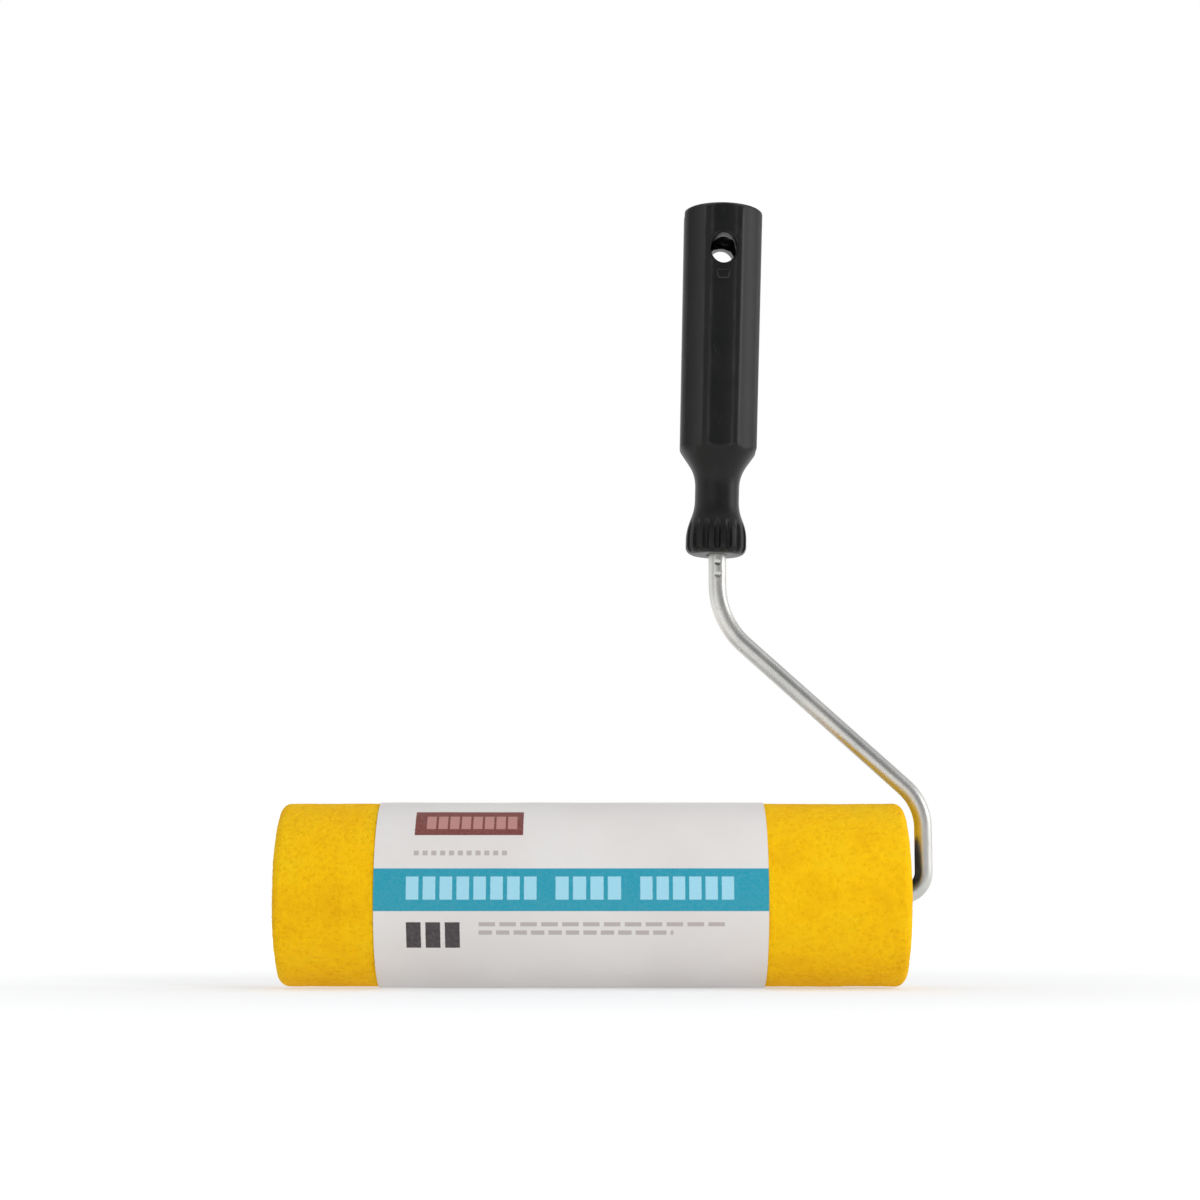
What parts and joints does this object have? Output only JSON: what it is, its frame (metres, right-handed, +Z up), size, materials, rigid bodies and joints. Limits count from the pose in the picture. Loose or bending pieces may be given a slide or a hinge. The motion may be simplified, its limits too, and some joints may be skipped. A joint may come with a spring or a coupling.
{
  "type": "paint roller",
  "caption": "Hand paint roller: a foam cover on a spinning wire cage, carried by a bent steel rod and a moulded handle with a threaded pole socket.",
  "frame": {"origin": "centre of the pole socket's mouth, at the top end of the handle", "axes": "+Z up the handle towards the mouth, +X along the roller towards the rod's upright leg, +Y away from the viewer of the label's front"},
  "size_m": [0.2359, 0.067, 0.2883],
  "materials": {
    "foam": "matte",
    "label_paper": "matte",
    "core_plastic": "satin",
    "rod_steel": "satin",
    "handle_plastic": "satin",
    "cap_plastic": "satin",
    "bearing_plastic": "satin",
    "wire_steel": "satin",
    "hardware_steel": "satin"
  },
  "bodies": {
    "frame": {"frame_rod": "rod_steel", "handle_body": "handle_plastic", "inner_thrust_washer": "hardware_steel", "outer_thrust_washer": "hardware_steel", "push_nut": "hardware_steel"},
    "cage": {"inner_end_cap": "cap_plastic", "outer_end_cap": "cap_plastic", "inner_bearing": "bearing_plastic", "outer_bearing": "bearing_plastic", "cage_wire_1": "wire_steel", "cage_wire_2": "wire_steel", "cage_wire_3": "wire_steel", "cage_wire_4": "wire_steel", "cage_wire_5": "wire_steel", "cage_centre_ring": "cap_plastic", "dust_cap": "cap_plastic"},
    "cover": {"core_tube": "core_plastic", "foam_sleeve": "foam", "label_wrap": "label_paper"}
  },
  "joints": [
    {"name": "roller_spin", "type": "hinge", "parent": "frame", "child": "cage", "pos_m": [-0.0489, 0, -0.2545], "axis": [1, 0, 0], "continuous": true},
    {"name": "cover_slide", "type": "slide", "parent": "cage", "child": "cover", "axis": [-1, 0, 0], "range_m": [0, 0.23]}
  ]
}
